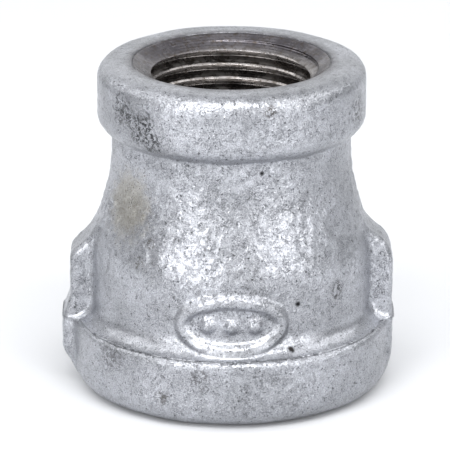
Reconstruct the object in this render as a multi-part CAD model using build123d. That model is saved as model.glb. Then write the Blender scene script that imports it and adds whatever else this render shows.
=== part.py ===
"""Banded, ribbed reducing coupling: one malleable iron casting, hot-dip galvanised, then threaded.

Millimetres. The origin is the centre of the large end's face, +Z runs up the bore towards the
small end, and the two ribs stand on the casting's parting line, at +X and -X.
"""

import math
import os

from build123d import *

# Overall
height = 31.75  # face to face

# Large end, for 1/2 pipe
large_band_radius = 15.2
large_band_width = 6.6
large_band_round = 2.25  # from its face up to its wall
large_tap_radius = 8.93  # the tap drill's hole, which the taper thread is cut from
large_thread_length = 10.9
large_countersink_radius = 11.6

# Small end, for 3/8 pipe
small_band_radius = 12.8
small_band_width = 5.75
small_band_round = 1.6
small_tap_radius = 7.34
small_thread_length = 9.14
small_countersink_radius = 9.5

# Body between the bands, with its shoulders and flare as corners before they are rounded
barrel_radius = 13.4
barrel_length = 6.9  # straight, from the large band's shoulder
neck_radius = 11.38
neck_length = 3.9  # straight, up to the small band's underside
flare_start_round = 7.0
flare_end_round = 16.0
shoulder_rise = 0.5  # how much the large band's shoulder climbs towards the barrel
shoulder_fillet = 0.8
band_edge_round = 0.45
underside_rise = 0.9  # how much the small band's underside climbs outwards
underside_fillet = 0.5
underside_edge_round = 1.8

# Waterway between the threads
barrel_wall = 2.65
neck_wall = 2.54
seat_rise = 1.0  # the cone between a tapped hole and the cast waterway
waterway_round = 2.5
countersink_slope = 30.0  # degrees from the end face

# Ribs on the parting line
rib_width = 5.0
rib_edge_round = 0.4
rib_proud = 0.22  # how far a rib's outer face stands out from the large band
wrench_rib_length = 6.7  # from the band's shoulder to the top corner of the rib flush with the band
wrench_rib_fall = 36.7  # degrees below level, along its rounded top
wrench_rib_round = 3.3
pad_rib_length = 5.9  # the same for the rib that steps out to a pad over the band
pad_rib_fall = 45.0
pad_rib_round = 0.9
pad_proud = 1.05
pad_climb = 1.0  # how far the pad reaches above the band
pad_foot = 1.0  # where the pad dies into the band's rounding
pad_round = 2.2

# Raised size mark on the barrel: an oval rim with a row of round dots
mark_climb = 2.7  # its centre, above the band's shoulder
mark_width = 10.4
mark_height = 5.6
mark_rim = 0.8
mark_proud = 0.5
mark_dot_radius = 0.7
mark_dot_pitch = 2.2
mark_dot_count = 3

# Hot-dip zinc
zinc = 0.1

# The most of a straight side that one rounding may take, so that both its ends fit
round_share = 0.45

slope = math.tan(math.radians(countersink_slope))
shoulder = large_band_width + shoulder_rise
underside = height - small_band_width - underside_rise
flare_start = shoulder + barrel_length
flare_end = underside - neck_length
small_thread_start = height - small_thread_length
waterway_radius = barrel_radius - barrel_wall
throat_radius = neck_radius - neck_wall
rib_radius = large_band_radius + rib_proud
pad_radius = large_band_radius + pad_proud


def section(points, rounds):
    """Half section on the XZ plane: a line through (radius, z) points with rounded corners."""
    corners = [(radius, 0, z) for radius, z in points]
    outline = FilletPolyline(*corners, radius=rounds)
    return make_face(outline + Line(corners[-1], corners[0]))


def turned(face, growth=0):
    """The solid that a half section sweeps round the bore's axis, grown by this much all round."""
    if growth:
        whole = face + mirror(face, about=Plane.YZ)
        grown = offset(whole, amount=growth, kind=Kind.INTERSECTION)
        face = split(grown, bisect_by=Plane.YZ, keep=Keep.TOP)
    return revolve(face, axis=Axis.Z)


def fitted_round(wanted, turn, shorter_side):
    """The wanted rounding of a corner that turns this much, or the most that its sides allow."""
    return min(wanted, shorter_side / math.tan(turn / 2))


def outer_section():
    """The bands, the barrel and the flare up to the neck."""
    points = [
        (0, 0),
        (large_band_radius, 0),
        (large_band_radius, large_band_width),
        (barrel_radius, shoulder),
        (barrel_radius, flare_start),
        (neck_radius, flare_end),
        (neck_radius, underside),
        (small_band_radius, underside + underside_rise),
        (small_band_radius, height),
        (0, height),
    ]
    narrowing = barrel_radius - neck_radius
    turn = math.atan2(narrowing, flare_end - flare_start)
    half_flare = math.hypot(narrowing, flare_end - flare_start) * round_share
    rounds = [
        large_band_round,
        band_edge_round,
        shoulder_fillet,
        fitted_round(flare_start_round, turn, min(half_flare, barrel_length * round_share)),
        fitted_round(flare_end_round, turn, min(half_flare, neck_length * round_share * 2)),
        underside_fillet,
        underside_edge_round,
        small_band_round,
    ]
    return section(points, rounds)


def waterway_section():
    """The cast hollow between the two tapped holes."""
    points = [
        (0, large_thread_length),
        (large_tap_radius, large_thread_length),
        (waterway_radius, large_thread_length + seat_rise),
        (waterway_radius, flare_start),
        (throat_radius, flare_end - seat_rise),
        (throat_radius, small_thread_start - seat_rise),
        (small_tap_radius, small_thread_start),
        (0, small_thread_start),
    ]
    throat_length = small_thread_start - flare_end
    waterway_length = flare_start - large_thread_length - seat_rise
    narrowing = waterway_radius - throat_radius
    turn = math.atan2(narrowing, flare_end - seat_rise - flare_start)
    lower = fitted_round(waterway_round, turn, waterway_length * round_share)
    upper = fitted_round(waterway_round, turn, throat_length * round_share)
    return section(points, [0, 0, lower, upper, 0, 0])


def rib(outline, rounds, side, skin):
    """A rib on the +X or -X side, from its (radius, z) outline, sunk by the skin all round."""
    corners = [(side * radius, 0, z) for radius, z in outline]
    plate = make_face(FilletPolyline(*corners, radius=rounds) + Line(corners[-1], corners[0]))
    if skin:
        plate = offset(plate, amount=-skin)
    blank = extrude(plate, amount=rib_width / 2 - skin, both=True)
    rims = blank.faces().filter_by(Axis.Y).edges()
    return fillet(rims, rib_edge_round - skin)


def rib_top(corner, fall):
    """Where a rib's top line, falling outwards at this angle to its corner, leaves the throat."""
    run = rib_radius - throat_radius
    return (throat_radius, corner + run * math.tan(math.radians(fall)))


def wrench_rib(skin):
    """The +X rib: it rounds over at the top and ends flush with the large band."""
    corner = shoulder + wrench_rib_length
    outline = [
        rib_top(corner, wrench_rib_fall),
        (rib_radius, corner),
        (rib_radius, large_band_width),
        (large_band_radius, large_band_width / 2),
        (throat_radius, large_band_width / 2),
    ]
    return rib(outline, [wrench_rib_round, pad_round, 0], 1, skin)


def pad_rib(skin):
    """The -X rib: it steps out to a pad over the large band, and the pad dies into its rounding."""
    corner = shoulder + pad_rib_length
    pad_top = large_band_width + pad_climb
    step = pad_radius - rib_radius
    outline = [
        rib_top(corner, pad_rib_fall),
        (rib_radius, corner),
        (rib_radius, pad_top + step),
        (pad_radius, pad_top - step),
        (pad_radius, pad_foot + pad_round),
        (large_band_radius - pad_foot, pad_foot / 2),
        (throat_radius, pad_foot / 2),
    ]
    return rib(outline, [pad_rib_round, pad_round, pad_round, pad_round, 0], -1, skin)


def size_mark(skin):
    """The raised oval rim and its dots on the barrel's front, sunk by the skin all round."""
    rim = Ellipse(mark_width / 2 - skin, mark_height / 2 - skin)
    rim -= Ellipse(mark_width / 2 - mark_rim + skin, mark_height / 2 - mark_rim + skin)
    first_dot = -mark_dot_pitch * (mark_dot_count - 1) / 2
    for number in range(mark_dot_count):
        rim += Pos(first_dot + number * mark_dot_pitch) * Circle(mark_dot_radius - skin)
    front = Plane.XZ.offset(neck_radius) * Pos(0, shoulder + mark_climb)
    stamp = extrude(front * rim, amount=barrel_radius)
    raised_to = barrel_radius + mark_proud - skin
    return stamp & Cylinder(raised_to, height, align=(Align.CENTER, Align.CENTER, Align.MIN))


def envelope(skin):
    """Everything inside the outer surface, or inside a surface sunk below it by the skin."""
    body = turned(outer_section(), -skin)
    for raised in (wrench_rib(skin), pad_rib(skin), size_mark(skin)):
        body += raised
    return body


def waterway(skin):
    """The cast hollow, or the larger hollow in the iron that its zinc lines."""
    return turned(waterway_section(), skin)


def countersunk_hole(countersink_radius, tap_radius, thread_length):
    """A tap drill's hole upwards from z = 0 with the cone that opens its mouth."""
    depth = (countersink_radius - tap_radius) * slope
    hole = Cylinder(tap_radius, thread_length, align=(Align.CENTER, Align.CENTER, Align.MIN))
    return hole + Cone(2 * countersink_radius - tap_radius, tap_radius, 2 * depth)


def tapped_holes():
    """What the drills take away at both ends."""
    large = countersunk_hole(large_countersink_radius, large_tap_radius, large_thread_length)
    small = countersunk_hole(small_countersink_radius, small_tap_radius, small_thread_length)
    return large + Pos(0, 0, height) * Rot(180, 0, 0) * small


def iron_casting():
    """The malleable iron body under its zinc, with the two holes that carry the taper threads."""
    return envelope(zinc) - waterway(zinc) - tapped_holes()


def outer_zinc_coat():
    """The zinc over the outside and both end faces, cut away where the countersinks start."""
    return envelope(0) - envelope(zinc) - tapped_holes()


def inner_zinc_coat():
    """The zinc that lines the cast waterway, cut off clean where each tapped hole begins."""
    return waterway(zinc) - waterway(0) - tapped_holes()


def main():
    """Builds each piece and writes it to its own STEP file."""
    os.makedirs("parts", exist_ok=True)
    for make in (iron_casting, outer_zinc_coat, inner_zinc_coat):
        export_step(make(), f"parts/{make.__name__}.step")


if __name__ == "__main__":
    main()
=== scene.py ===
"""Finish of a banded reducing coupling: rough-cast galvanised skin, oiled taper threads, studio."""

import logging
import math
from dataclasses import dataclass, field
from enum import Enum
from typing import Any

import bpy
import numpy as np
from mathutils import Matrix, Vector


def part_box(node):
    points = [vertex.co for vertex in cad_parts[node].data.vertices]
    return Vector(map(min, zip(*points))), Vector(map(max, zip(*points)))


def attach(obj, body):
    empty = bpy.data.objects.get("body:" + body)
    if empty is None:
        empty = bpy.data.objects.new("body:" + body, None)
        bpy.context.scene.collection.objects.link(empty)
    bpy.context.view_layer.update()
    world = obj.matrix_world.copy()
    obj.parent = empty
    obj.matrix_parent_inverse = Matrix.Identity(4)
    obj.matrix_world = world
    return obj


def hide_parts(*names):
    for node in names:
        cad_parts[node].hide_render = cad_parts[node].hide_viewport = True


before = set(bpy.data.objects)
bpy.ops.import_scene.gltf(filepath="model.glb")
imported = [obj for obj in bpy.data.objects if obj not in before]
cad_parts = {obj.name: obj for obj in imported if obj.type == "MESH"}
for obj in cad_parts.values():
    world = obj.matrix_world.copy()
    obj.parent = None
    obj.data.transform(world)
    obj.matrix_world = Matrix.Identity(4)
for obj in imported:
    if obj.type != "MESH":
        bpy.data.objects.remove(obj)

log = logging.getLogger("coupling")

MM = 0.001
TURN = 2.0 * math.pi
INCH = 25.4
Array = np.ndarray
Material = bpy.types.Material
Socket = bpy.types.NodeSocket
Thing = bpy.types.Object
Tree = bpy.types.NodeTree

# How deep a countersink goes for each millimetre that its radius shrinks: 30 degrees to its face.
CONE_SLOPE = math.tan(math.radians(30.0))
# The zinc's thickness at its cut edges, in millimetres.
ZINC = 0.1
# The height at which zinc pools in the fillet above the large band, in millimetres.
POOL_HEIGHT = 7.9


# ---- numbers and noise


def smooth_step(low: float, high: float, value: Array) -> Array:
    """Rises from 0 to 1 between low and high as 3t^2 - 2t^3."""
    t = np.clip((value - low) / (high - low), 0.0, 1.0)
    return t * t * (3.0 - 2.0 * t)


def smooth_min(first: Array, second: Array, reach: float) -> Array:
    """The lesser of two distances, blended where they differ by less than reach.

    Formula: min(a, b) - max(reach - |a - b|, 0)^2 / (4 reach).

    Args:
        first: a, one distance.
        second: b, the other one.
        reach: how far from equal they blend.

    Returns:
        The blended distance, never more than either.
    """
    overlap = np.maximum(reach - np.abs(first - second), 0.0)
    return np.minimum(first, second) - overlap * overlap / (4.0 * reach)


def smooth_max(first: Array, second: Array, reach: float) -> Array:
    """The greater of two distances, blended as smooth_min does."""
    return -smooth_min(-first, -second, reach)


@dataclass(frozen=True)
class Grain:
    """Gradient noise over space, the same on every run.

    Args:
        size: width of one lump, in millimetres.
        seed: which of the many patterns of that size.
    """

    size: float
    seed: int

    def __call__(self, place: Array) -> Array:
        """Noise between about -1 and 1 at each place.

        Formula: each corner of the cell round a place has a random slope, and the slopes' heights
        at the place are blended by 6t^5 - 15t^4 + 10t^3 along each axis.

        Args:
            place: (..., 3) places in millimetres.

        Returns:
            (...) the noise.
        """
        rng = np.random.default_rng(self.seed)
        shuffled = rng.permutation(256)
        slopes = rng.normal(size=(256, 3))
        slopes /= np.linalg.norm(slopes, axis=1, keepdims=True)
        cell = np.floor(place / self.size).astype(int)
        within = place / self.size - cell
        ease = within**3 * (within * (within * 6.0 - 15.0) + 10.0)
        total = np.zeros(place.shape[:-1])
        for corner in np.ndindex(2, 2, 2):
            at = (cell + corner) & 255
            pick = shuffled[(shuffled[(shuffled[at[..., 0]] + at[..., 1]) & 255] + at[..., 2]) & 255]
            height = np.sum(slopes[pick] * (within - corner), axis=-1)
            share = np.prod(np.where(np.array(corner) == 1, ease, 1.0 - ease), axis=-1)
            total += height * share
        return total * 1.6


# ---- outlines


@dataclass(frozen=True)
class Outline:
    """A line through (radius, height) corners, each rounded by an arc.

    Args:
        corners: (radius, height) of each corner, in millimetres.
        rounds: the arc's radius at each corner, 0 for a sharp one and for both ends.
    """

    corners: tuple[tuple[float, float], ...]
    rounds: tuple[float, ...]

    def sampled(self, spacing: float, arc_steps: int = 6) -> Array:
        """Points along the rounded line, at most this far apart on its straight runs.

        Formula: a corner that turns by a is replaced by an arc that starts and ends at
        round * tan(a / 2) from it.

        Args:
            spacing: the largest step along a straight run, in millimetres.
            arc_steps: the fewest steps round an arc.

        Returns:
            (n, 2) radius and height of each point.
        """
        pieces: list[Array] = []
        here = np.array(self.corners[0], float)
        for number in range(1, len(self.corners)):
            corner = np.array(self.corners[number], float)
            rounding = self.rounds[number]
            if rounding == 0.0 or number == len(self.corners) - 1:
                pieces.append(self._straight(here, corner, spacing))
                here = corner
                continue
            before = np.array(self.corners[number - 1], float) - corner
            after = np.array(self.corners[number + 1], float) - corner
            before /= np.linalg.norm(before)
            after /= np.linalg.norm(after)
            opening = math.acos(float(np.clip(before @ after, -1.0, 1.0)))
            cut = rounding / math.tan(opening / 2.0)
            middle = before + after
            centre = corner + middle / np.linalg.norm(middle) * rounding / math.sin(opening / 2.0)
            start, end = corner + before * cut, corner + after * cut
            pieces.append(self._straight(here, start, spacing))
            turn = math.pi - opening
            steps = max(arc_steps, math.ceil(rounding * turn / spacing))
            share = np.linspace(0.0, 1.0, steps + 1)[:-1, None]
            low, high = start - centre, end - centre
            weights = np.sin((1.0 - share) * turn), np.sin(share * turn)
            pieces.append(centre + (low * weights[0] + high * weights[1]) / math.sin(turn))
            here = end
        return np.vstack([*pieces, here[None, :]])

    @staticmethod
    def _straight(start: Array, end: Array, spacing: float) -> Array:
        """Evenly spaced points from start up to, and without, end."""
        steps = max(1, math.ceil(float(np.linalg.norm(end - start)) / spacing))
        return start + (end - start) * np.linspace(0.0, 1.0, steps + 1)[:-1, None]


def facing(points: Array) -> Array:
    """The unit normal at each point of an outline, on the side to the right of its run.

    Args:
        points: (n, 2) radius and height of each point.

    Returns:
        (n, 2) the normals' parts along radius and height.
    """
    run = np.gradient(points, axis=0)
    run /= np.linalg.norm(run, axis=1, keepdims=True)
    return np.stack([run[:, 1], -run[:, 0]], axis=1)


def polar(radius: Array, angle: Array, height: Array) -> Array:
    """(..., 3) places from radius, angle from +X and height, which broadcast together."""
    radius, angle, height = np.broadcast_arrays(radius, angle, height)
    return np.stack([radius * np.cos(angle), radius * np.sin(angle), height], axis=-1)


def crowded_angles(count: int, spots: tuple[tuple[float, float, float], ...]) -> Array:
    """Angles round a turn that stand closer together at some spots.

    Formula: equal shares of the running total of 1 + sum(extra * exp(-(gap / width)^2)).

    Args:
        count: how many angles.
        spots: for each spot its angle, width and extra density, in radians.

    Returns:
        (count,) angles, from 0 up to less than a turn.
    """
    fine = np.linspace(0.0, TURN, 7201)
    density = np.ones_like(fine)
    for angle, width, extra in spots:
        gap = np.abs((fine - angle + math.pi) % TURN - math.pi)
        density += extra * np.exp(-((gap / width) ** 2))
    total = np.concatenate([[0.0], np.cumsum((density[1:] + density[:-1]) / 2.0)])
    return np.interp(np.arange(count) / count, total / total[-1], fine)


def outward(surface: Array) -> Array:
    """Unit normals of a (rows, columns, 3) surface that closes on itself along its columns.

    Formula: the cross product of the step across columns and the step across rows.

    Args:
        surface: its places, in rows that each run round the bore.

    Returns:
        A normal for each place, away from the bore's axis where the rows run upwards.
    """
    across = np.roll(surface, -1, axis=1) - np.roll(surface, 1, axis=1)
    along = np.gradient(surface, axis=0)
    normal = np.cross(across, along)
    return normal / np.maximum(np.linalg.norm(normal, axis=-1, keepdims=True), 1e-12)


@dataclass(frozen=True)
class Weave:
    """How the rows of a surface close on themselves after a full turn.

    Args:
        wrap: for each row, the row that its last column runs on into.
        pinch: for each row, the row whose first point it shares.
    """

    wrap: Array
    pinch: Array

    @classmethod
    def rings(cls, rows: int) -> "Weave":
        """Every row is a ring."""
        return cls(np.arange(rows), np.arange(rows))

    @classmethod
    def helix(cls, rows: int, per_turn: int) -> "Weave":
        """Every row climbs per_turn rows in a turn, between a flat ring at each end."""
        order = np.arange(rows)
        return cls(np.minimum(order + per_turn, rows - 1), np.maximum(order, per_turn))

    def then(self, other: "Weave") -> "Weave":
        """This weave with another one's rows after it.

        Args:
            other: the weave of the rows that follow.

        Returns:
            The weave of both.
        """
        rows = len(self.wrap)
        wrap = np.concatenate([self.wrap, other.wrap + rows])
        return Weave(wrap, np.concatenate([self.pinch, other.pinch + rows]))


def solid_mesh(name: str, surface: Array, weave: Weave, flipped: bool) -> Thing:
    """A closed mesh from rows that run round a ring-shaped solid and back to the first row.

    Formula: point (row, column) joins (row, column + 1) and (row + 1, column). The column after
    the last one is the first one of the row that the weave names.

    Args:
        name: the object's name.
        surface: (rows, columns, 3) places in millimetres.
        weave: how each row closes.
        flipped: true where the rows run the other way round the solid's section.

    Returns:
        The object that holds the mesh.
    """
    rows, columns = surface.shape[:2]
    index = np.empty((rows + 1, columns + 1), int)
    index[:rows, :columns] = np.arange(rows * columns).reshape(rows, columns)
    index[:rows, 0] = weave.pinch * columns
    index[:rows, columns] = index[weave.wrap, 0]
    index[rows] = index[0]
    low, high = index[:-1], index[1:]
    quads = np.stack([low[:, :-1], low[:, 1:], high[:, 1:], high[:, :-1]], axis=-1).reshape(-1, 4)
    triangles = np.concatenate([quads[:, [0, 1, 2]], quads[:, [0, 2, 3]]])
    if flipped:
        triangles = triangles[:, ::-1]
    ends = np.sort(triangles, axis=1)
    triangles = triangles[np.all(np.diff(ends, axis=1) > 0, axis=1)]
    used, numbered = np.unique(triangles, return_inverse=True)
    return mesh_object(name, surface.reshape(-1, 3)[used] * MM, numbered.reshape(-1, 3))


def mesh_object(name: str, vertices: Array, triangles: Array) -> Thing:
    """A smooth-shaded object at the origin.

    Args:
        name: the object's name.
        vertices: (n, 3) places in metres.
        triangles: (m, 3) numbers of vertices, in an order that faces outwards.

    Returns:
        The object, linked to the scene.
    """
    mesh = bpy.data.meshes.new(name)
    mesh.vertices.add(len(vertices))
    mesh.vertices.foreach_set("co", vertices.astype(np.float32).ravel())
    mesh.loops.add(triangles.size)
    mesh.loops.foreach_set("vertex_index", triangles.astype(np.int32).ravel())
    mesh.polygons.add(len(triangles))
    mesh.polygons.foreach_set("loop_start", np.arange(0, triangles.size, 3, dtype=np.int32))
    mesh.polygons.foreach_set("loop_total", np.full(len(triangles), 3, dtype=np.int32))
    mesh.polygons.foreach_set("use_smooth", np.ones(len(triangles), dtype=bool))
    mesh.update(calc_edges=True)
    mesh.validate()
    thing = bpy.data.objects.new(name, mesh)
    bpy.context.scene.collection.objects.link(thing)
    return thing


# ---- the casting


class Side(Enum):
    """Which side of the bore a rib stands on, as its direction along X."""

    RIGHT = 1.0
    LEFT = -1.0


@dataclass(frozen=True)
class Rib:
    """A rib on the casting's parting line, as a plate of even width. Millimetres.

    Args:
        side: the side it stands on.
        edge: its outer edge, as (radius, height) from the foot up.
        foot: the height below which it is gone.
        width: its thickness.
        rounding: the blend of its outer edges.
        steepest: the most that its outer edge's slope counts for.
    """

    side: Side
    edge: Outline
    foot: float
    width: float = 5.0
    rounding: float = 0.75
    steepest: float = 4.0

    def distance(self, place: Array) -> Array:
        """How far each place is outside the rib, below 0 inside it.

        Formula: the smooth greatest of |y| - width / 2 and past, where past is the greatest of
        foot - z, the distance beyond the bore's middle, and the horizontal distance beyond the
        outer edge times the cosine of the edge's slope.

        Args:
            place: (..., 3) places.

        Returns:
            (...) the distances.
        """
        edge = self.edge.sampled(0.2)
        slope = np.gradient(edge[:, 0], edge[:, 1])
        lean = 1.0 / np.sqrt(1.0 + np.clip(slope, -self.steepest, self.steepest) ** 2)
        height = place[..., 2]
        reach = np.interp(height, edge[:, 1], edge[:, 0])
        aside = place[..., 0] * self.side.value
        past = (aside - reach) * np.interp(height, edge[:, 1], lean)
        past = np.maximum(past, np.maximum(self.foot - height, -aside))
        return smooth_max(np.abs(place[..., 1]) - self.width / 2.0, past, self.rounding)


@dataclass(frozen=True)
class OvalMark:
    """A raised oval rim round a row of dots, on the front of the barrel. Millimetres."""

    height: float = 9.8
    width: float = 10.4
    rise: float = 5.6
    rim: float = 0.85
    proud: float = 0.5
    dot_radius: float = 0.78
    dot_pitch: float = 2.2
    dots: int = 3
    draft: float = 0.45

    def raised(self, place: Array) -> Array:
        """How far the mark stands out at each place.

        Formula: proud where the distance to the oval's centre line is under its half width,
        falling off by 3t^2 - 2t^3 over the draft, and a dome of the same fall over each dot. The
        distance to the oval is (q - 1) q / |(u / a^2, v / b^2)| with q = |(u / a, v / b)|.

        Args:
            place: (..., 3) places on the barrel.

        Returns:
            (...) the heights, 0 away from the mark.
        """
        radius = np.hypot(place[..., 0], place[..., 1])
        across = radius * np.arctan2(place[..., 0], -place[..., 1])
        up = place[..., 2] - self.height
        half_width, half_rise = (self.width - self.rim) / 2.0, (self.rise - self.rim) / 2.0
        share = np.hypot(across / half_width, up / half_rise)
        steep = np.hypot(across / half_width**2, up / half_rise**2)
        gap = np.abs((share - 1.0) * share / np.maximum(steep, 1e-6)) - self.rim / 2.0
        raised = 1.0 - smooth_step(-self.draft / 2.0, self.draft, gap)
        for number in range(self.dots):
            middle = (number - (self.dots - 1) / 2.0) * self.dot_pitch
            out = np.hypot(across - middle, up) / (self.dot_radius + self.draft / 2.0)
            raised = np.maximum(raised, 1.0 - smooth_step(0.1, 1.0, out))
        return self.proud * raised


@dataclass
class CastForm:
    """The casting's outer shape with its ribs and mark, under and over the zinc. Millimetres.

    Args:
        height: face to face.
        mouth_radius: the small end's countersink, where its face starts.
        base_mouth_radius: the same at the large end.
        rounds: at the mouth, base, band's edge, fillet, flare's start and end, crease, underside,
            top and mouth.
        columns: points round the bore.
        spacing: the step between rows.
        root: the reach of the fillet along the ribs.
        thinnest_lean: the least that a face's lean counts for, so that flat faces are found too.
        search: how far out from the turned shape a rib may reach.
        halvings: how often the search's range is halved.
        touch: a rib that moves the turned shape by less than this leaves it alone.
    """

    height: float
    mouth_radius: float = 9.5
    base_mouth_radius: float = 11.6
    band_radius: float = 15.2
    band_width: float = 6.6
    small_band_radius: float = 12.78
    small_band_width: float = 5.75
    barrel_radius: float = 13.4
    shoulder: float = 7.1
    neck_radius: float = 11.38
    flare_start: float = 14.0
    flare_end: float = 21.2
    underside: float = 25.1
    rounds: tuple[float, ...] = (0.0, 2.25, 0.7, 2.0, 7.0, 16.0, 0.5, 1.7, 1.6, 0.0)
    columns: int = 400
    spacing: float = 0.215
    root: float = 0.9
    thinnest_lean: float = 0.22
    search: float = 6.0
    halvings: int = 26
    touch: float = 0.002
    mark: OvalMark = field(default_factory=OvalMark)

    def outline(self) -> Outline:
        """The turned shape.

        Returns:
            Its outline, from the large end's mouth over the outside to the small end's.
        """
        corners = (
            (self.base_mouth_radius, 0.0),
            (self.band_radius, 0.0),
            (self.band_radius, self.band_width),
            (self.barrel_radius, self.shoulder),
            (self.barrel_radius, self.flare_start),
            (self.neck_radius, self.flare_end),
            (self.neck_radius, self.underside),
            (self.small_band_radius, self.height - self.small_band_width),
            (self.small_band_radius, self.height),
            (self.mouth_radius, self.height),
        )
        return Outline(corners, self.rounds)

    def ribs(self) -> tuple[Rib, Rib]:
        """Both ribs.

        Returns:
            The right one, which ends flush with the band, and the left one with its pad.
        """
        flush, proud = self.band_radius + 0.22, self.band_radius + 1.05
        right = (
            (self.band_radius - 0.8, 1.5),
            (self.band_radius + 0.05, 3.0),
            (flush, self.band_width),
            (flush, 13.8),
            (8.8, 18.7),
        )
        left = (
            (self.band_radius - 1.6, 0.4),
            (proud, 3.1),
            (proud, 6.4),
            (flush, 8.9),
            (flush, 13.0),
            (8.8, 19.6),
        )
        return (
            Rib(Side.RIGHT, Outline(right, (0.0, 1.5, 4.0, 3.3, 0.0)), foot=1.5),
            Rib(Side.LEFT, Outline(left, (0.0, 2.2, 2.2, 2.2, 0.9, 0.0)), foot=0.4),
        )

    def angles(self) -> Array:
        """Angles round the bore, one for each column of the surfaces.

        Returns:
            The angles, closest together at the ribs' sides and across the mark.
        """
        rib_foot = self.barrel_radius + 0.8
        side = math.asin(self.ribs()[0].width / 2.0 / rib_foot)
        width, extra = math.radians(2.0), 5.0
        sides = [(turn + lean, width, extra) for turn in (0.0, math.pi) for lean in (side, -side)]
        mark = (0.75 * TURN, math.radians(24.0), 1.8)
        return crowded_angles(self.columns, (*sides, mark))

    def surfaces(self) -> tuple[Array, Array]:
        """The smooth outer surface without and with its mark, from the large end's mouth up.

        Formula: each point of the turned outline moves straight out from the axis to where the
        smooth least of two distances is 0. The first is the distance out from the outline times
        the cosine of its slope, the second is the distance to the nearer rib. Halving the range
        that holds that place again and again finds it. The mark rises only from upright faces.

        Returns:
            Both surfaces, as (rows, columns, 3) places.
        """
        outline = self.outline().sampled(self.spacing)
        lean = np.maximum(facing(outline)[:, 0], self.thinnest_lean)[:, None]
        angles, start, height = self.angles()[None, :], outline[:, :1], outline[:, 1:]
        near = np.broadcast_to(start, (len(outline), self.columns)).copy()
        far = near + self.search
        right, left = self.ribs()
        for _ in range(self.halvings):
            middle = (near + far) / 2.0
            place = polar(middle, angles, height)
            rib = np.minimum(right.distance(place), left.distance(place))
            inside = smooth_min((middle - start) * lean, rib, self.root) < 0.0
            near, far = np.where(inside, middle, near), np.where(inside, far, middle)
        reach = np.where(near - start < self.touch, start, near)
        plain = polar(reach, angles, height)
        raised = self.mark.raised(plain) * smooth_step(0.4, 0.95, lean)
        return plain, polar(reach + raised, angles, height)


@dataclass(frozen=True)
class Roughness:
    """How far the cast and dipped surface departs from its smooth form. Millimetres.

    Args:
        swell: the height of the widest waves.
        peel: the height of the lumps, like an orange's peel.
        fine: the height of the grit.
        top: the height of the small end's face.
    """

    swell: float = 0.07
    peel: float = 0.095
    fine: float = 0.03
    top: float = 31.75

    def height(self, place: Array) -> Array:
        """How far each place is pushed out.

        Formula: swells 5 mm wide, lumps 1.2 and 0.6 mm wide and grit 0.45 mm wide. The lumps are
        strongest on the flare and weakest in the fillet above the large band, and everything but
        the swell is calm on the end faces.

        Args:
            place: (..., 3) places on the smooth form.

        Returns:
            (...) the heights.
        """
        z = place[..., 2]
        flare = smooth_step(13.0, 16.5, z) * (1.0 - smooth_step(20.5, 24.0, z))
        calm = smooth_step(0.0, 1.2, z)
        calm = calm * (1.0 - 0.75 * smooth_step(self.top - 1.35, self.top - 0.15, z))
        swell = Grain(5.0, 3)(place) * self.swell
        patch = smooth_step(-0.5, 0.6, Grain(6.0, 11)(place))
        lumps = Grain(1.2, 5)(place) * 0.6 + Grain(0.6, 7)(place) * 0.65
        grit = Grain(0.45, 9)(place) * self.fine
        pool = 0.3 + 0.7 * smooth_step(0.6, 1.7, np.abs(z - POOL_HEIGHT))
        strength = (0.3 + 0.25 * patch) * pool + flare * (0.35 + 0.55 * patch)
        return swell + calm * (lumps * self.peel * strength + grit)


@dataclass
class ZincSkin:
    """The zinc over the casting: its rough free surface and the bond with the iron below.

    Args:
        form: the casting's shape.
        thickness: the zinc's thickness at its cut edges, in millimetres.
        depth: how much deeper the bond lies away from them, below the roughness.
        sparse: the bond keeps one row in this many.
        rim_rows: how many rows the roughness takes to grow from a cut edge.
    """

    form: CastForm
    roughness: Roughness = field(default_factory=Roughness)
    thickness: float = ZINC
    depth: float = 0.2
    sparse: int = 5
    rim_rows: float = 5.0

    def surfaces(self) -> tuple[Array, Array]:
        """The free surface and the bond, both from the large end's mouth up.

        Formula: the free surface is the form plus its roughness along its normals. The bond is
        some of the rows of the form without its mark, sunk along the normals, and its two end rows
        follow the countersink.

        Returns:
            Both surfaces, as (rows, columns, 3) places with the same columns.
        """
        plain, smooth = self.form.surfaces()
        normals = outward(smooth)
        rows = len(smooth)
        order = np.arange(rows)[:, None]
        free_of_rim = smooth_step(0.0, self.rim_rows, np.minimum(order, rows - 1 - order))
        free = smooth + normals * (self.roughness.height(smooth) * free_of_rim)[..., None]
        picked = np.unique(np.append(np.arange(0, rows, self.sparse), rows - 1))
        sunk = self.thickness + self.depth * free_of_rim[picked]
        bond = plain[picked] - outward(plain)[picked] * sunk[..., None]
        for row, level in ((0, self.thickness), (-1, self.form.height - self.thickness)):
            radius = (self.form.base_mouth_radius, self.form.mouth_radius)[row]
            inner = radius - self.thickness / CONE_SLOPE
            bond[row] = polar(inner, self.form.angles(), np.array(level))
        return free, bond

    def build(self, free: Array, bond: Array) -> Thing:
        """The closed skin between its two surfaces."""
        surface = np.concatenate([free, bond[::-1]])
        return solid_mesh("zinc_skin", surface, Weave.rings(len(surface)), flipped=False)


# ---- the bore


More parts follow.
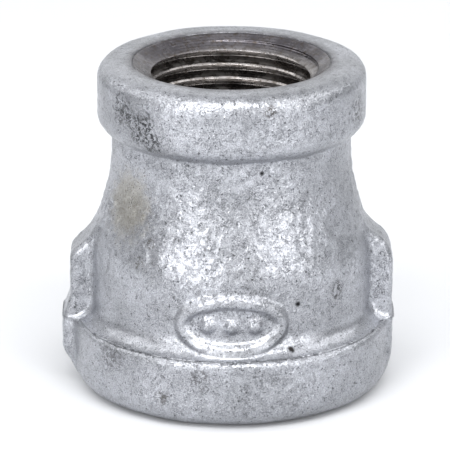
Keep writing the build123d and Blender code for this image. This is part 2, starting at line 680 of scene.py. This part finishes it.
@dataclass(frozen=True)
class TaperThread:
    """A right-hand 60 degree taper pipe thread, cut from a tap drill's straight hole. Millimetres.

    Args:
        pitch: from crest to crest.
        pitch_diameter: at the end face.
        face: height of that face.
        inward: +1 where the hole runs up from its face, -1 where it runs down.
        crest_radius: the tap drill's hole.
        start_angle: where a groove stands at start_height, in degrees from +X.
        start_height: that height.
        taper: how much the radius falls for each millimetre inwards.
        flat: half the width of a groove's root.
        depth_share: the groove's depth as a share of the pitch.
        root_blend: how far the groove's root is rounded.
        crest_blend: how far the crests are rounded, as a tap and its burrs leave them.
    """

    pitch: float
    pitch_diameter: float
    face: float
    inward: float
    crest_radius: float
    start_angle: float
    start_height: float
    taper: float = 1.0 / 32.0
    flat: float = 0.05
    depth_share: float = 0.8
    root_blend: float = 0.06
    crest_blend: float = 0.45

    def radius(self, angle: Array, height: Array) -> Array:
        """The hole's radius at each angle and height.

        Formula: the root radius, which narrows by the taper from the face inwards, less sqrt(3)
        times the distance along the axis from the nearest groove's flat, but never less than the
        drilled hole's. The groove climbs one pitch in a turn.

        Args:
            angle: from +X, in radians.
            height: above the large end's face.

        Returns:
            The radii, of the shape that angle and height broadcast to.
        """
        root = self.pitch_diameter / 2.0 + self.pitch * self.depth_share / 2.0
        root = root - (height - self.face) * self.inward * self.taper
        turns = (angle - math.radians(self.start_angle)) / TURN
        phase = (height - self.start_height) / self.pitch - turns
        aside = np.abs(phase - np.round(phase)) * self.pitch
        flank = smooth_max(aside - self.flat, np.zeros(()), self.root_blend) * math.sqrt(3.0)
        groove = root - flank
        return smooth_max(groove, np.full_like(groove, self.crest_radius), self.crest_blend)


@dataclass
class Bore:
    """The passage through the casting: countersinks, threads, and the cast waterway between.

    Args:
        height: the casting's height, in millimetres.
        large: the thread at z = 0.
        small: the thread at the top.
        large_mouth: the radius of the countersink at z = 0, where its face starts.
        small_mouth: the same at the top.
        large_length: how deep the large thread is cut.
        small_length: how deep the small one is.
        run_out: how far past its length a thread fades.
        waterway: the cast wall between the threads.
    """

    height: float
    large: TaperThread
    small: TaperThread
    large_mouth: float
    small_mouth: float
    large_length: float = 10.9
    small_length: float = 9.14
    run_out: float = 1.2
    waterway: Outline = field(
        default_factory=lambda: Outline(
            ((8.93, 10.9), (10.85, 11.9), (10.85, 14.0), (8.94, 20.2), (8.94, 21.6), (7.34, 22.61)),
            (0.0, 0.0, 2.5, 2.5, 0.0, 0.0),
        )
    )

    def radius(self, angle: Array, height: Array) -> Array:
        """The iron's surface at each angle and height.

        Formula: the greatest of both countersink cones, the thread whose end the height is in,
        and the waterway.

        Args:
            angle: from +X, in radians.
            height: above the large end's face, in millimetres.

        Returns:
            The radii, of the shape that angle and height broadcast to.
        """
        lower_cone = self.large_mouth - height / CONE_SLOPE
        upper_cone = self.small_mouth - (self.height - height) / CONE_SLOPE
        line = self.waterway.sampled(0.2)
        cast = np.interp(height, line[:, 1], line[:, 0], left=0.0, right=0.0)
        lower = height < (self.large_length + self.height - self.small_length) / 2.0
        thread = np.where(lower, self.large.radius(angle, height), self.small.radius(angle, height))
        within = lower & (height <= self.large_length + self.run_out)
        within |= ~lower & (height >= self.height - self.small_length - self.run_out)
        wall = np.maximum(np.where(within, thread, 0.0), cast)
        return smooth_max(wall, np.maximum(lower_cone, upper_cone), 0.05)

    def rows(self, angles: Array, thickness: float) -> tuple[Array, Weave]:
        """The whole passage as (rows, columns, 3) places upwards, with its weave.

        Formula: flat rings in the cones and the waterway, and rows that climb with the thread's
        helix between them. A helix block's first and last turns fan out from a flat ring.

        Args:
            angles: the columns' angles.
            thickness: how far inside each end face the passage starts.

        Returns:
            The places and their weave.
        """
        large_low, large_high = 0.45, 11.0
        small_low, small_high = 22.4, 31.35
        blocks = [
            self._rings(angles, np.linspace(thickness, large_low, 4)[:-1]),
            self._helix(angles, self.large, large_low, large_high, per_turn=14),
            self._rings(angles, np.linspace(large_high, small_low, 40)[1:-1]),
            self._helix(angles, self.small, small_low, small_high, per_turn=22),
            self._rings(angles, np.linspace(small_high, self.height - thickness, 5)[1:]),
        ]
        weave = blocks[0][1]
        for _, following in blocks[1:]:
            weave = weave.then(following)
        return np.concatenate([surface for surface, _ in blocks]), weave

    def _rings(self, angles: Array, heights: Array) -> tuple[Array, Weave]:
        """Flat rings at these heights."""
        angles, heights = angles[None, :], heights[:, None]
        return polar(self.radius(angles, heights), angles, heights), Weave.rings(len(heights))

    def _helix(
        self, angles: Array, thread: TaperThread, low: float, high: float, per_turn: int
    ) -> tuple[Array, Weave]:
        """Rows along a thread between two flat rings.

        Formula: row n stands at low + clip(n - k, 0) * step + min(n / k, 1) * pitch * turn, where k
        is the rows in a turn, and the last k rows fan in to a flat ring in the same way.

        Args:
            angles: the columns' angles.
            thread: the thread to follow.
            low: the lower ring's height.
            high: the upper ring's height.
            per_turn: how many rows a turn climbs.

        Returns:
            The (rows, columns, 3) places upwards, and their weave.
        """
        middle = max(1, round((high - low - thread.pitch) / thread.pitch * per_turn))
        pitch = (high - low) / (middle / per_turn + 1.0)
        order = np.arange(middle + 2 * per_turn + 1)[:, None]
        turn = (angles / TURN)[None, :]
        fan_out = np.minimum(order / per_turn, 1.0) * turn
        fan_in = np.maximum(order - per_turn - middle, 0) / per_turn * (1.0 - turn)
        climbed = np.clip(order - per_turn, 0, middle) / per_turn
        heights = low + (climbed + fan_out + fan_in) * pitch
        surface = polar(self.radius(angles[None, :], heights), angles[None, :], heights)
        return surface, Weave.helix(len(order), per_turn)


@dataclass
class ThreadedIron:
    """The bare iron under the zinc, with the countersinks and threads cut into it."""

    bore: Bore
    thickness: float = ZINC

    def build(self, bond: Array, angles: Array) -> Thing:
        """The closed casting, from the passage's rows upwards and the bond's rows down again.

        Args:
            bond: the zinc's bond surface, from the large end's mouth up.
            angles: the angle of each of its columns.

        Returns:
            The casting, with every second one of those columns.
        """
        passage, weave = self.bore.rows(angles[::2], self.thickness)
        outside = bond[1:-1][::-1, ::2]
        surface = np.concatenate([passage, outside])
        weave = weave.then(Weave.rings(len(outside)))
        return solid_mesh("threaded_iron", surface, weave, flipped=True)


@dataclass
class WaterwayLining:
    """The zinc that lines the cast waterway between the two threads. Millimetres."""

    bore: Bore
    thickness: float = ZINC
    columns: int = 160
    swell: float = 0.05
    deepest: float = 0.06

    def build(self) -> Thing:
        """Makes the closed lining.

        Formula: the iron's cast outline, and the same outline moved in by the thickness and a
        little grain, which never thins it by more than deepest, joined at both ends.

        Returns:
            The lining.
        """
        line = self.bore.waterway.sampled(0.3)
        normals = facing(line)
        angles = np.arange(self.columns)[None, :] / self.columns * TURN
        wall = polar(line[:, :1], angles, line[:, 1:])
        inner = line - normals * self.thickness
        free = polar(inner[:, :1], angles, inner[:, 1:])
        order = np.arange(len(line))[:, None]
        calm = smooth_step(0.0, 3.0, np.minimum(order, len(line) - 1 - order))
        grain = (Grain(1.6, 21)(free) + 0.4 * Grain(0.6, 22)(free)) * self.swell * calm
        free -= outward(free) * np.maximum(grain, -self.deepest)[..., None]
        surface = np.concatenate([wall, free[::-1]])
        return solid_mesh("waterway_zinc", surface, Weave.rings(len(surface)), flipped=False)


# ---- finishes


def linear(colour: str) -> tuple[float, float, float, float]:
    """Turns an sRGB colour to linear light.

    Args:
        colour: as #RRGGBB.

    Returns:
        Linear red, green, blue and full alpha.
    """
    values = [int(colour[place : place + 2], 16) / 255.0 for place in (1, 3, 5)]
    lin = [v / 12.92 if v <= 0.04045 else ((v + 0.055) / 1.055) ** 2.4 for v in values]
    return (*lin, 1.0)


def new_material(name: str) -> tuple[Material, Tree]:
    """Makes an empty node material.

    Args:
        name: the material's name.

    Returns:
        The material and its nodes.
    """
    material = bpy.data.materials.new(name)
    material.use_nodes = True
    material.node_tree.nodes.clear()
    return material, material.node_tree


def node(
    tree: Tree,
    kind: str,
    settings: dict[str, Any] | None = None,
    values: dict[str | int, Any] | tuple[Any, ...] = (),
    output: str | int = 0,
) -> Socket | None:
    """Adds one node with its settings and links.

    Args:
        tree: where it goes.
        kind: its Blender type.
        settings: its own properties.
        values: for each input, a value, an sRGB hex colour or the output socket that feeds it.
            A tuple fills the inputs in their order.
        output: which output to give back.

    Returns:
        That output socket, or none where the node has no outputs.
    """
    made = tree.nodes.new(kind)
    for name, setting in (settings or {}).items():
        setattr(made, name, setting)
    pairs = values.items() if isinstance(values, dict) else enumerate(values)
    for name, value in pairs:
        if isinstance(value, Socket):
            tree.links.new(value, made.inputs[name])
        else:
            made.inputs[name].default_value = linear(value) if isinstance(value, str) else value
    return made.outputs[output] if len(made.outputs) else None


# Kinds of node, most with the settings that every finish uses them with.
NOISE = "ShaderNodeTexNoise"
MIX = ("ShaderNodeMix", {"data_type": "RGBA"})
RISE = ("ShaderNodeMapRange", {"interpolation_type": "SMOOTHSTEP"})
TIMES = ("ShaderNodeMath", {"operation": "MULTIPLY"})
PLUS = ("ShaderNodeMath", {"operation": "ADD"})
MINUS = ("ShaderNodeMath", {"operation": "SUBTRACT"})
SIZE = ("ShaderNodeMath", {"operation": "ABSOLUTE"})
GAP = ("ShaderNodeVectorMath", {"operation": "DISTANCE"})
# The inputs of a colour mix that take its share and its two colours, and its colour output.
SHARE, FIRST, SECOND, MIXED = 0, 6, 7, 2


def layered(tree: Tree, ground: str, layers: list[tuple[Socket, str]]) -> Socket | str:
    """A ground colour under layers of others.

    Args:
        tree: the material's nodes.
        ground: the lowest colour, as sRGB hex.
        layers: from below, how much each one hides and its colour.

    Returns:
        The colour's output socket, or the ground itself where there are no layers.
    """
    colour: Socket | str = ground
    for share, over in layers:
        colour = node(tree, *MIX, {SHARE: share, FIRST: colour, SECOND: over}, MIXED)
    return colour


@dataclass(frozen=True)
class Pattern:
    """Noise whose lumps are a stated number of millimetres wide."""

    width: float
    detail: float = 2.0
    roughness: float = 0.5
    distortion: float = 0.0

    def values(self, place: Socket) -> dict[str, Any]:
        """A noise node's inputs for that pattern at a place in Object coordinates."""
        return {
            "Vector": place,
            "Scale": 1.0 / (self.width * MM),
            "Detail": self.detail,
            "Roughness": self.roughness,
            "Distortion": self.distortion,
        }


@dataclass(frozen=True)
class Stain:
    """A dark mark on the zinc round one place.

    Args:
        place: its middle, in millimetres.
        reach: how far it fades out, in millimetres.
        colour: as sRGB hex.
        cover: how much of the zinc's own colour it hides, from 0 to 1.
        speckled: true where it breaks up into specks, as dross does.
    """

    place: tuple[float, float, float]
    reach: float
    colour: str = "#4A4A4B"
    cover: float = 0.85
    speckled: bool = False

    def share(self, tree: Tree, place: Socket, mottle: Socket, specks: Socket) -> Socket:
        """How much it covers at each place.

        Formula: cover times a smooth fall of the distance from its middle, to which the mottle
        adds a share of the reach, so that its edge is ragged.

        Args:
            tree: the material's nodes.
            place: the place in Object coordinates.
            mottle: the noise that tears its edge.
            specks: where dross has its specks, from 0 to 1.

        Returns:
            The share, from 0 to cover.
        """
        middle = [value * MM for value in self.place]
        gap = node(tree, *GAP, (place, middle), "Value")
        ragged = node(tree, *TIMES, (mottle, 1.5 * self.reach * MM))
        gap = node(tree, *PLUS, (gap, ragged))
        start, end = self.reach * 1.1 * MM, self.reach * 1.75 * MM
        near = node(tree, *RISE, (gap, start, end, self.cover, 0.0))
        return node(tree, *TIMES, (near, specks)) if self.speckled else near


@dataclass(frozen=True)
class WornMouth:
    """The rim of an end face, where the countersinking tool smeared and thinned the zinc.

    Args:
        level: the face's height, in millimetres.
        radius: where the countersink starts.
        width: how far out the wear reaches.
        colour: as sRGB hex.
    """

    level: float
    radius: float
    width: float = 1.1
    colour: str = "#737276"

    def share(self, tree: Tree, place: Socket, film: Socket) -> Socket:
        """How much of the zinc it hides at each place: most at the rim, none beyond its width.

        Args:
            tree: the material's nodes.
            place: the place in Object coordinates.
            film: how much of it the mottle leaves, up to 1.

        Returns:
            The share, from 0 to nearly 1.
        """
        gap = node(tree, *GAP, (place, (0.0, 0.0, self.level * MM)), "Value")
        start, end = self.radius * MM, (self.radius + self.width) * MM
        return node(tree, *TIMES, (node(tree, *RISE, (gap, start, end, 0.95, 0.0)), film))


@dataclass(frozen=True)
class HotDipZinc:
    """Hot-dip galvanised cast iron: dull silver zinc that drained and froze over a sand-cast skin.

    The metal gives broken white glints on a pale blue-grey, the sand-cast skin an orange peel with
    a fine grit, and creases, dross and handling leave dark specks, smudges and a faint olive stain.
    The zinc pools smooth in the fillet above the large band.

    Args:
        clean: freshly frozen zinc, as sRGB hex.
        worn: rubbed and oxidised zinc.
        crease: the dirt in grit and creases.
        speck: the dirt in pits.
        cloud: where the zinc is worn.
        mottle: patches that vary the gloss, the creases and the edges of stains.
        folds: its middle value draws the creases.
        dross: the specks in dross.
        relief_mm: the relief of lump, grain and grit.
        crease_cover: the least and most that creases hide.
        pool_calm: the share of the relief that is left where the zinc pools.
    """

    name: str = "hot_dip_zinc_over_sand_casting"
    clean: str = "#C5C7CD"
    worn: str = "#B1B3B8"
    crease: str = "#525356"
    speck: str = "#3E3E40"
    roughness: tuple[float, float] = (0.27, 0.36)
    cloud: Pattern = Pattern(5.0, 2.0, 0.5)
    mottle: Pattern = Pattern(0.9, 4.0, 0.7)
    folds: Pattern = Pattern(0.34, 3.0, 0.75, 1.2)
    dross: Pattern = Pattern(0.36, 5.0, 0.8, 0.6)
    lump: Pattern = Pattern(0.6, 2.0, 0.45, 0.3)
    grain: Pattern = Pattern(0.26, 2.0, 0.6, 0.4)
    grit: Pattern = Pattern(0.12, 1.0, 0.5)
    relief_mm: tuple[float, float, float] = (0.055, 0.045, 0.026)
    crease_depth_mm: float = 0.04
    salt_cover: float = 0.33
    crease_cover: tuple[float, float] = (0.1, 0.95)
    pit_cover: float = 0.75
    pool_calm: float = 0.3
    stains: tuple[Stain, ...] = (
        Stain((-10.0, -6.8, 19.6), 4.2, "#A0977E", 0.4),
        Stain((-8.5, -9.6, 28.0), 2.4, "#434446", 1.0, speckled=True),
        Stain((-7.4, -10.4, 26.9), 1.6, "#434446", 1.0, speckled=True),
        Stain((-10.2, -7.6, 29.2), 2.2, "#48494B", 1.0, speckled=True),
        Stain((11.9, -4.7, 28.2), 2.4, "#4C4D4F", 0.9, speckled=True),
        Stain((3.6, -12.2, 30.4), 0.9, "#4F4B48", 0.9, speckled=True),
        Stain((2.84, -11.1, 24.1), 0.36, "#1E1D1D", 1.0),
        Stain((2.80, -11.2, 23.7), 0.26, "#1E1D1D", 1.0),
        Stain((-3.0, -14.9, 5.0), 1.6, "#5F5E60", 0.8, speckled=True),
        Stain((-6.5, -13.7, 2.9), 1.0, "#5A5856", 0.9, speckled=True),
        Stain((-7.57, -9.97, 16.8), 0.75, "#57534C", 0.8, speckled=True),
        Stain((-8.66, -9.73, 14.8), 0.9, "#57534C", 0.9, speckled=True),
        Stain((6.23, -11.86, 11.5), 0.34, "#222122", 1.0),
        Stain((10.0, -8.95, 12.0), 1.3, "#474647", 0.9, speckled=True),
        Stain((5.55, -12.6, 7.2), 0.5, "#2C2A2A", 1.0),
        Stain((-11.4, -10.0, 5.6), 2.4, "#5A5A5C", 0.75, speckled=True),
        Stain((9.6, 8.4, 27.6), 2.8, "#545557", 0.9, speckled=True),
        Stain((-5.0, 12.2, 13.0), 2.0, "#57534C", 0.8, speckled=True),
    )
    mouths: tuple[WornMouth, ...] = ()

    def material(self) -> Material:
        """Makes the node material.

        Returns:
            The material, named for the finish.
        """
        made, tree = new_material(self.name)
        place = node(tree, "ShaderNodeTexCoord", output="Object")
        patterns = (self.cloud, self.mottle, self.folds, self.dross, self.lump, self.grain, self.grit)
        cloud, mottle, folds, dross, lump, grain, grit = (
            node(tree, NOISE, None, pattern.values(place)) for pattern in patterns
        )

        off_fold = node(tree, *SIZE, (node(tree, *MINUS, (folds, 0.5)),))
        creases = node(tree, *RISE, (off_fold, 0.006, 0.038, 1.0, 0.0))
        worked = node(tree, *RISE, (mottle, 0.36, 0.66, *self.crease_cover))
        creases = node(tree, *TIMES, (creases, worked))
        specks = node(tree, *RISE, (dross, 0.47, 0.55))
        film = node(tree, *RISE, (mottle, 0.3, 0.6, 0.6, 1.0))
        # Each layer's share and colour: worn clouds, salt-like grit, creases, pits, single marks.
        layers = [
            (node(tree, *RISE, (cloud, 0.36, 0.64)), self.worn),
            (node(tree, *RISE, (grit, 0.35, 0.65, 0.0, self.salt_cover)), self.crease),
            (creases, self.crease),
            (node(tree, *RISE, (grain, 0.62, 0.69, 0.0, self.pit_cover)), self.speck),
            *((mark.share(tree, place, mottle, specks), mark.colour) for mark in self.stains),
            *((mouth.share(tree, place, film), mouth.colour) for mouth in self.mouths),
        ]
        colour = layered(tree, self.clean, layers)

        # The relief in millimetres, calm where the zinc pools.
        relief = node(tree, *TIMES, (creases, -self.crease_depth_mm))
        for pattern, amount in zip((lump, grain, grit), self.relief_mm, strict=True):
            relief = node(tree, *PLUS, (relief, node(tree, *TIMES, (pattern, amount))))
        level = node(tree, "ShaderNodeSeparateXYZ", None, (place,), "Z")
        off_pool = node(tree, *SIZE, (node(tree, *MINUS, (level, POOL_HEIGHT * MM)),))
        rough = node(tree, *RISE, (off_pool, 0.6 * MM, 1.7 * MM, self.pool_calm, 1.0))
        relief = node(tree, *TIMES, (relief, rough))
        finish(tree, colour, node(tree, *RISE, (mottle, 0.3, 0.7, *self.roughness)), relief)
        return made


@dataclass(frozen=True)
class OiledIron:
    """Malleable iron, cut by a countersink and a tap and left oily.

    The tap leaves the threads bright with brown oil in them, and the countersink a dull smeared
    grey with fine tool rings.

    Args:
        height: the casting's height, in millimetres.
        sunk: how deep below each end face the dull countersink turns to bright thread.
        threads: the cut threads' colour, as sRGB hex.
        sheen: the countersinks' brighter colour.
        dull: their darker one.
        oil: the colour of old oil.
        ring_mm: the width of one tool ring.
        relief_mm: the relief of the rings and of the oil film.
    """

    height: float
    sunk: tuple[float, float] = (0.8, 1.7)
    name: str = "machined_malleable_iron_oiled"
    threads: str = "#999593"
    sheen: str = "#6E6B6F"
    dull: str = "#565357"
    oil: str = "#4A4033"
    mottle: Pattern = Pattern(1.6, 4.0, 0.6)
    film: Pattern = Pattern(0.5, 3.0, 0.6)
    oil_cover: float = 0.8
    ring_mm: float = 0.3
    relief_mm: tuple[float, float] = (0.010, 0.05)
    roughness: tuple[float, float] = (0.18, 0.36)

    def material(self) -> Material:
        """Makes the node material.

        Returns:
            The material, named for the finish.
        """
        made, tree = new_material(self.name)
        place = node(tree, "ShaderNodeTexCoord", output="Object")
        mottle = node(tree, NOISE, None, self.mottle.values(place))
        film = node(tree, NOISE, None, self.film.values(place))
        level = node(tree, "ShaderNodeSeparateXYZ", None, (place,), "Z")
        off_middle = node(tree, *SIZE, (node(tree, *MINUS, (level, self.height / 2.0 * MM)),))
        deep, shallow = ((self.height / 2.0 - sunk) * MM for sunk in reversed(self.sunk))
        layers = [
            (node(tree, *RISE, (mottle, 0.35, 0.65)), self.dull),
            (node(tree, *RISE, (off_middle, deep, shallow, 1.0, 0.0)), self.threads),
            (node(tree, *RISE, (film, 0.45, 0.75, 0.0, self.oil_cover)), self.oil),
        ]
        colour = layered(tree, self.sheen, layers)
        wave_settings = {"wave_type": "RINGS", "rings_direction": "Z", "wave_profile": "SIN"}
        # A wave texture repeats every TURN / (20 * Scale).
        wave_values = {"Vector": place, "Scale": TURN / 20.0 / (self.ring_mm * MM), "Distortion": 0.9}
        rings = node(tree, "ShaderNodeTexWave", wave_settings, wave_values, "Fac")
        ring_relief, film_relief = self.relief_mm
        relief = node(tree, *TIMES, (rings, ring_relief))
        relief = node(tree, *PLUS, (relief, node(tree, *TIMES, (film, film_relief))))
        finish(tree, colour, node(tree, *RISE, (mottle, 0.3, 0.7, *self.roughness)), relief)
        return made


def finish(tree: Tree, colour: Socket, roughness: Socket, relief: Socket) -> None:
    """Ends a metal's nodes with its shader.

    Args:
        tree: the material's nodes.
        colour: the metal's colour.
        roughness: the shader's roughness.
        relief: the surface's height, in millimetres.
    """
    values = {"Strength": 1.0, "Distance": MM, "Height": relief}
    normal = node(tree, "ShaderNodeBump", None, values, "Normal")
    values = {"Base Color": colour, "Metallic": 1.0, "Roughness": roughness, "Normal": normal}
    shader = node(tree, "ShaderNodeBsdfPrincipled", None, values)
    node(tree, "ShaderNodeOutputMaterial", None, {"Surface": shader})


# ---- the studio


@dataclass(frozen=True)
class SoftBox:
    """One soft light that faces the fitting. Metres and watts."""

    name: str
    place: tuple[float, float, float]
    size: tuple[float, float]
    power: float


@dataclass
class Studio:
    """A pale floor, soft boxes round the fitting and the camera. Metres.

    Args:
        middle: the height that everything faces.
        distance: from the bore's axis to the camera, along the floor.
        camera_height: above the floor.
        aside: how far the camera stands off the bore's axis, to its left.
        floor_reach: half the floor's width.
        floor_drop: how far the floor lies below the fitting.
        glow: the world's strength.
    """

    middle: float
    distance: float = 0.400
    camera_height: float = 0.1529
    aside: float = 0.00061
    sensor: float = 36.0
    lens: float = 353.1
    floor_reach: float = 4.0
    floor_drop: float = 0.1 * MM
    floor_colour: str = "#CFD0D2"
    sky_colour: str = "#F1F4F9"
    glow: float = 0.34
    boxes: tuple[SoftBox, ...] = (
        SoftBox("left_box", (-0.262, -0.372, 0.17), (0.30, 0.30), 1.25),
        SoftBox("right_box", (0.32, -0.325, 0.17), (0.32, 0.32), 1.1),
        SoftBox("front_box", (0.0, -0.27, 0.42), (0.50, 0.18), 2.0),
        SoftBox("front_low_box", (0.0, -0.50, 0.11), (0.40, 0.16), 0.20),
        SoftBox("top_box", (0.0, -0.02, 0.46), (0.50, 0.50), 0.7),
        SoftBox("left_high_box", (-0.36, 0.06, 0.32), (0.32, 0.32), 0.7),
        SoftBox("right_high_box", (0.36, 0.06, 0.32), (0.32, 0.32), 0.7),
        SoftBox("back_box", (0.0, 0.50, 0.24), (0.80, 0.50), 1.0),
    )

    def build(self) -> None:
        """Sets up the floor, the lights, the world and the camera."""
        self._floor()
        for box in self.boxes:
            self._light(box)
        self._world()
        self._camera()

    def _floor(self) -> None:
        """One wide pale matt sheet just under the fitting."""
        corners = np.array([[-1, -1, 0], [1, -1, 0], [1, 1, 0], [-1, 1, 0]], float)
        corners = corners * self.floor_reach - (0.0, 0.0, self.floor_drop)
        sheet = mesh_object("floor", corners, np.array([[0, 1, 2], [0, 2, 3]]))
        made, tree = new_material("pale_paper")
        values = {"Base Color": self.floor_colour, "Roughness": 0.9}
        shader = node(tree, "ShaderNodeBsdfPrincipled", None, values)
        node(tree, "ShaderNodeOutputMaterial", None, {"Surface": shader})
        sheet.data.materials.append(made)

    def _light(self, box: SoftBox) -> None:
        """Adds one soft box, turned to the fitting.

        Args:
            box: its place, size and power.
        """
        lamp = bpy.data.lights.new(box.name, "AREA")
        lamp.shape = "RECTANGLE"
        lamp.size, lamp.size_y = box.size
        lamp.energy = box.power
        holder = bpy.data.objects.new(box.name, lamp)
        holder.location = box.place
        toward = Vector((0.0, 0.0, self.middle)) - Vector(box.place)
        holder.rotation_euler = toward.to_track_quat("-Z", "Y").to_euler()
        bpy.context.scene.collection.objects.link(holder)

    def _world(self) -> None:
        """An even, slightly cool white all round."""
        world = bpy.data.worlds.new("studio")
        world.use_nodes = True
        backdrop = world.node_tree.nodes["Background"]
        backdrop.inputs["Color"].default_value = linear(self.sky_colour)
        backdrop.inputs["Strength"].default_value = self.glow
        bpy.context.scene.world = world

    def _camera(self) -> None:
        """A long lens a little above the fitting."""
        lens = bpy.data.cameras.new("camera")
        lens.sensor_width = self.sensor
        lens.lens = self.lens
        lens.clip_start = 0.01
        lens.clip_end = 20.0
        holder = bpy.data.objects.new("camera", lens)
        holder.location = (-self.aside, -self.distance, self.camera_height)
        toward = Vector((-self.aside, 0.0, self.middle)) - holder.location
        holder.rotation_euler = toward.to_track_quat("-Z", "Y").to_euler()
        bpy.context.scene.collection.objects.link(holder)
        bpy.context.scene.camera = holder
        bpy.context.scene.view_settings.view_transform = "Standard"


# ---- building it


def dress(piece: Thing, replaced: str, material: Material) -> None:
    """Gives a piece its finish, hides the CAD node it stands for and puts it under the root body.

    Args:
        piece: the finished mesh's object.
        replaced: the CAD node's name.
        material: its finish.
    """
    piece.data.materials.append(material)
    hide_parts(replaced)
    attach(piece, "root")
    log.info("%s: %d triangles, for %s", piece.name, len(piece.data.polygons), replaced)


def main() -> None:
    """Builds the studio and the three pieces."""
    logging.basicConfig(level=logging.INFO, format="%(name)s: %(message)s")
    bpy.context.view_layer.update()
    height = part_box("outer_zinc_coat")[1].z / MM
    Studio(middle=15.24 * MM).build()

    form = CastForm(height)
    skin = ZincSkin(form, Roughness(top=height))
    free, bond = skin.surfaces()
    mouths = (
        WornMouth(height, form.mouth_radius - ZINC),
        WornMouth(0.0, form.base_mouth_radius - ZINC),
    )
    outer_zinc = HotDipZinc(mouths=mouths)
    dress(skin.build(free, bond), "outer_zinc_coat", outer_zinc.material())

    # The 1/2 and 3/8 threads: pitch, pitch diameter, face, direction, tap drill, start.
    large = TaperThread(INCH / 14.0, 19.772, 0.0, 1.0, 8.93, 250.0, 0.57)
    small = TaperThread(INCH / 18.0, 15.926, height, -1.0, 7.34, 100.0, height - 0.58)
    bore = Bore(height, large, small, form.base_mouth_radius, form.mouth_radius)
    iron = ThreadedIron(bore).build(bond, form.angles())
    dress(iron, "iron_casting", OiledIron(height).material())
    lining_zinc = HotDipZinc("hot_dip_zinc_in_waterway", "#9FA2A7", "#84868A", stains=())
    dress(WaterwayLining(bore).build(), "inner_zinc_coat", lining_zinc.material())


if __name__ == "__main__":
    main()
